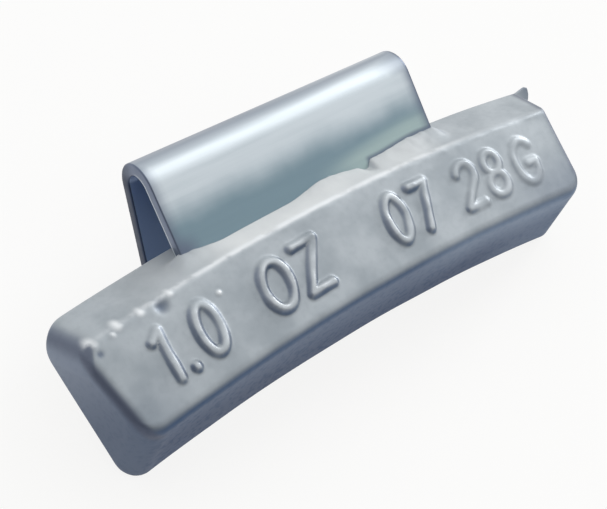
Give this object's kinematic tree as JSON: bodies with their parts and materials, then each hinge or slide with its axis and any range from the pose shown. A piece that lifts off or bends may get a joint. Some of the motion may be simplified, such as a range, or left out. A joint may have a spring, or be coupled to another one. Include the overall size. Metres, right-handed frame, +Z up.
{
  "type": "wheel balance weight",
  "caption": "Curved die-cast bar with a bevelled top and drafted ends, and a wide spring clip cast into it that hooks over the flange of a wheel rim to balance the wheel.",
  "frame": {"origin": "on the bench under the middle of the weight's box, with the weight lying on its back", "axes": "+X along the body, +Y along the bench from the body towards the clip, +Z up from the bench"},
  "size_m": [0.0554, 0.0204, 0.0125],
  "materials": {
    "zinc": "satin",
    "spring_steel": "satin"
  },
  "bodies": {
    "root": {"weight_body": "zinc", "clip": "spring_steel"}
  },
  "joints": []
}
